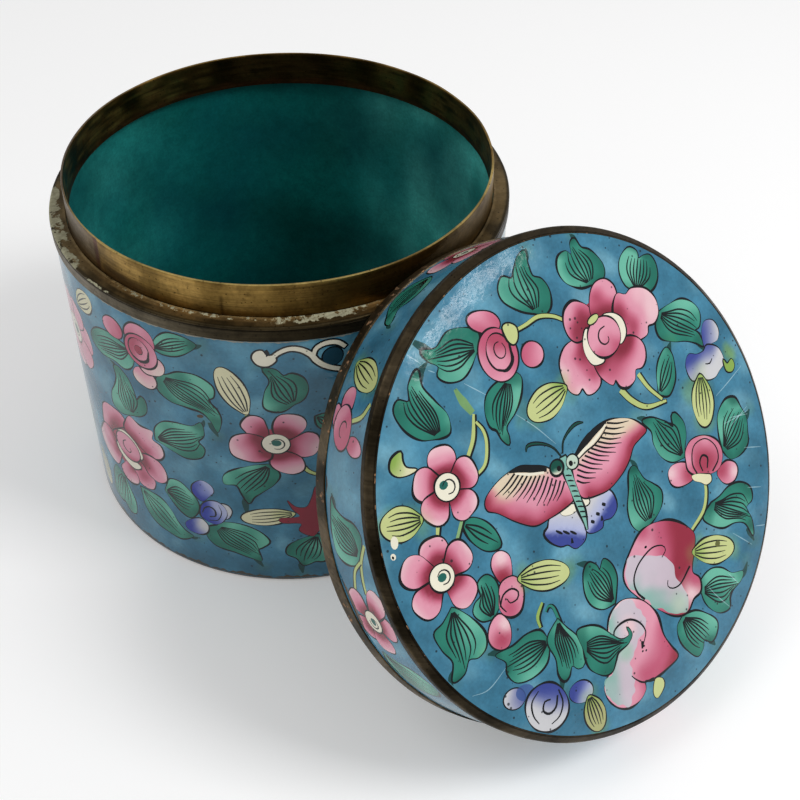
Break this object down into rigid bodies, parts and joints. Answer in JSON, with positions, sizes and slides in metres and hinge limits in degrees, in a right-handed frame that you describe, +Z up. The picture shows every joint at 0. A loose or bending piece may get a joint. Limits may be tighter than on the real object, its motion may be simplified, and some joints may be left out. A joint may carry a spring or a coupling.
{
  "type": "canton enamel jar",
  "caption": "Round enamelled copper jar painted with flowers, with a brass collar; its shallow lid is off and leans against the jar.",
  "frame": {"origin": "centre of the jar's flat underside", "axes": "+Z up along the jar's axis, away from the underside; -Y towards the leaning lid; +X to the right when the lid is in front"},
  "size_m": [0.0999, 0.1629, 0.086],
  "materials": {
    "painted_enamel": "glossy painted enamel, blue outside with pink, green and cream flowers, turquoise inside",
    "dark_bronze": "dark brown patinated metal with worn edges",
    "old_brass": "brushed, tarnished golden brass"
  },
  "bodies": {
    "root": {"jar_body": "painted_enamel", "jar_rim_band": "dark_bronze", "jar_collar": "old_brass", "lid_body": "painted_enamel", "lid_top_ring": "dark_bronze", "lid_mouth_ring": "dark_bronze"}
  },
  "joints": []
}
